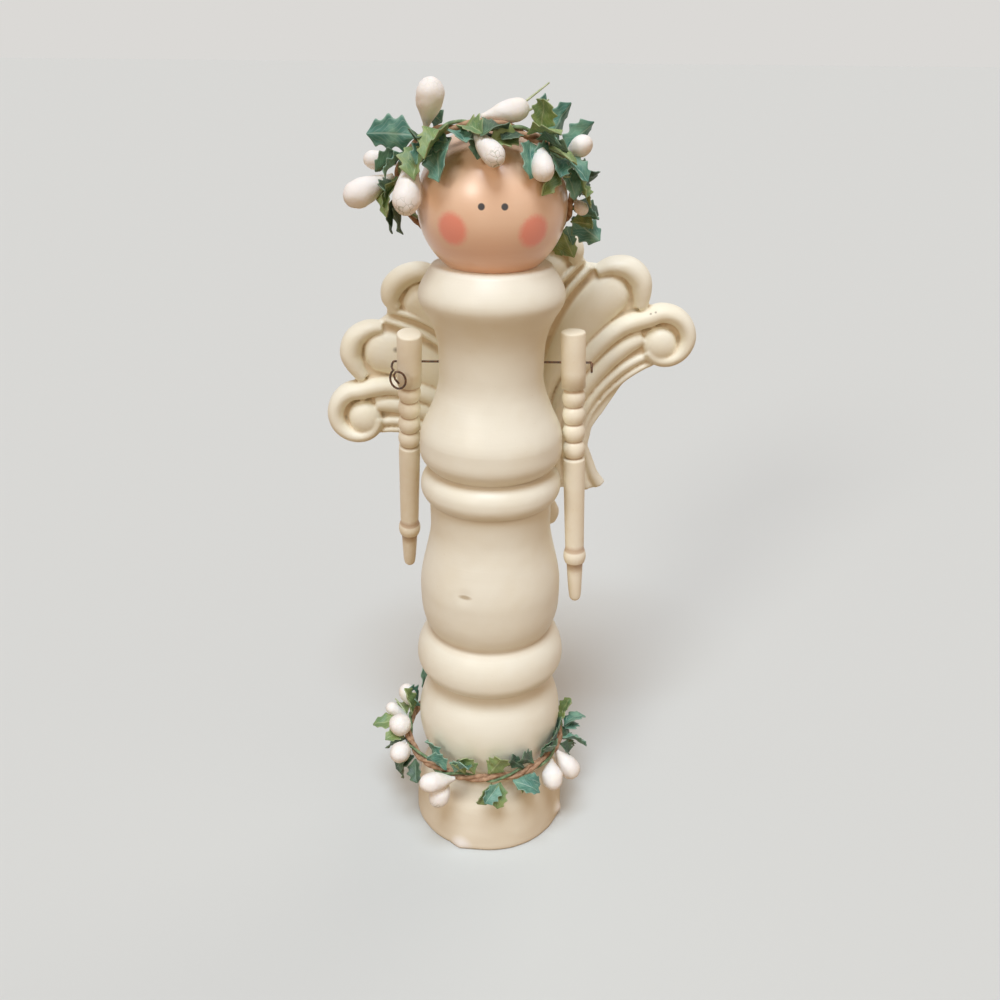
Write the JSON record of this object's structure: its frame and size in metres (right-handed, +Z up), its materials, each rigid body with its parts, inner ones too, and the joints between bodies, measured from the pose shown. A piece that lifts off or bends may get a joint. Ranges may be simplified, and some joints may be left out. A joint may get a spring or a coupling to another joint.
{
  "type": "clothespin doll",
  "caption": "Turned-wood spindle angel doll with a ball head, wire-hung swinging arms, a carved wing plaque behind the shoulders and holly wreaths on head and base.",
  "frame": {"origin": "centre of the flat underside of the foot, on the table", "axes": "+Z up along the axis of the turned body, the face looks along -Y, the doll's wings spread along X"},
  "size_m": [0.1087, 0.0589, 0.2234],
  "materials": {
    "body_paint": "satin ivory paint on turned wood, worn at the foot",
    "head_paint": "satin flesh-coloured paint with rosy cheeks and two eye dots",
    "bare_dowel": "bare hardwood",
    "arm_paint": "cream paint on turned wood",
    "rusty_wire": "dark rusty annealed wire",
    "wing_ivory": "aged ivory paint, tan in the recesses",
    "twig_wrap": "brown paper wrapping",
    "pip_white": "matte white pressed paper",
    "leaf_teal": "teal waxed paper",
    "leaf_light": "light green waxed paper",
    "leaf_dark": "dark green waxed paper"
  },
  "bodies": {
    "doll": {"body_spindle": "body_paint", "head_ball": "head_paint", "neck_dowel": "bare_dowel", "wing_plaque": "wing_ivory", "head_twig": "twig_wrap", "base_twig": "twig_wrap", "head_pip_1": "pip_white", "head_pip_2": "pip_white", "head_pip_3": "pip_white", "head_pip_4": "pip_white", "head_pip_5": "pip_white", "head_pip_6": "pip_white", "head_pip_7": "pip_white", "head_pip_8": "pip_white", "head_pip_9": "pip_white", "head_leaf_1": "leaf_teal", "head_leaf_2": "leaf_light", "head_leaf_3": "leaf_dark", "head_leaf_4": "leaf_teal", "head_leaf_5": "leaf_light", "head_leaf_6": "leaf_dark", "head_leaf_7": "leaf_teal", "head_leaf_8": "leaf_light", "head_leaf_9": "leaf_dark", "head_leaf_10": "leaf_teal", "head_leaf_11": "leaf_light", "head_leaf_12": "leaf_dark", "head_leaf_13": "leaf_teal", "head_leaf_14": "leaf_light", "head_leaf_15": "leaf_dark", "head_leaf_16": "leaf_teal", "head_leaf_17": "leaf_light", "base_pip_1": "pip_white", "base_pip_2": "pip_white", "base_pip_3": "pip_white", "base_pip_4": "pip_white", "base_pip_5": "pip_white", "base_pip_6": "pip_white", "base_pip_7": "pip_white", "base_pip_8": "pip_white", "base_pip_9": "pip_white", "base_leaf_1": "leaf_teal", "base_leaf_2": "leaf_light", "base_leaf_3": "leaf_dark", "base_leaf_4": "leaf_teal", "base_leaf_5": "leaf_light", "base_leaf_6": "leaf_dark", "base_leaf_7": "leaf_teal", "base_leaf_8": "leaf_light", "base_leaf_9": "leaf_dark", "base_leaf_10": "leaf_teal", "base_leaf_11": "leaf_light", "base_leaf_12": "leaf_dark", "base_leaf_13": "leaf_teal", "base_leaf_14": "leaf_light"},
    "left_arm_on_wire": {"left_arm": "arm_paint", "shoulder_wire": "rusty_wire"},
    "right_arm": {"right_arm": "arm_paint"}
  },
  "joints": [
    {"name": "left_shoulder", "type": "hinge", "parent": "doll", "child": "left_arm_on_wire", "pos_m": [0, 0, 0.1526], "axis": [1, 0, 0], "range_deg": [-160, 12]},
    {"name": "right_shoulder", "type": "hinge", "parent": "doll", "child": "right_arm", "pos_m": [0, 0, 0.1526], "axis": [1, 0, 0], "range_deg": [-150, 18]}
  ]
}
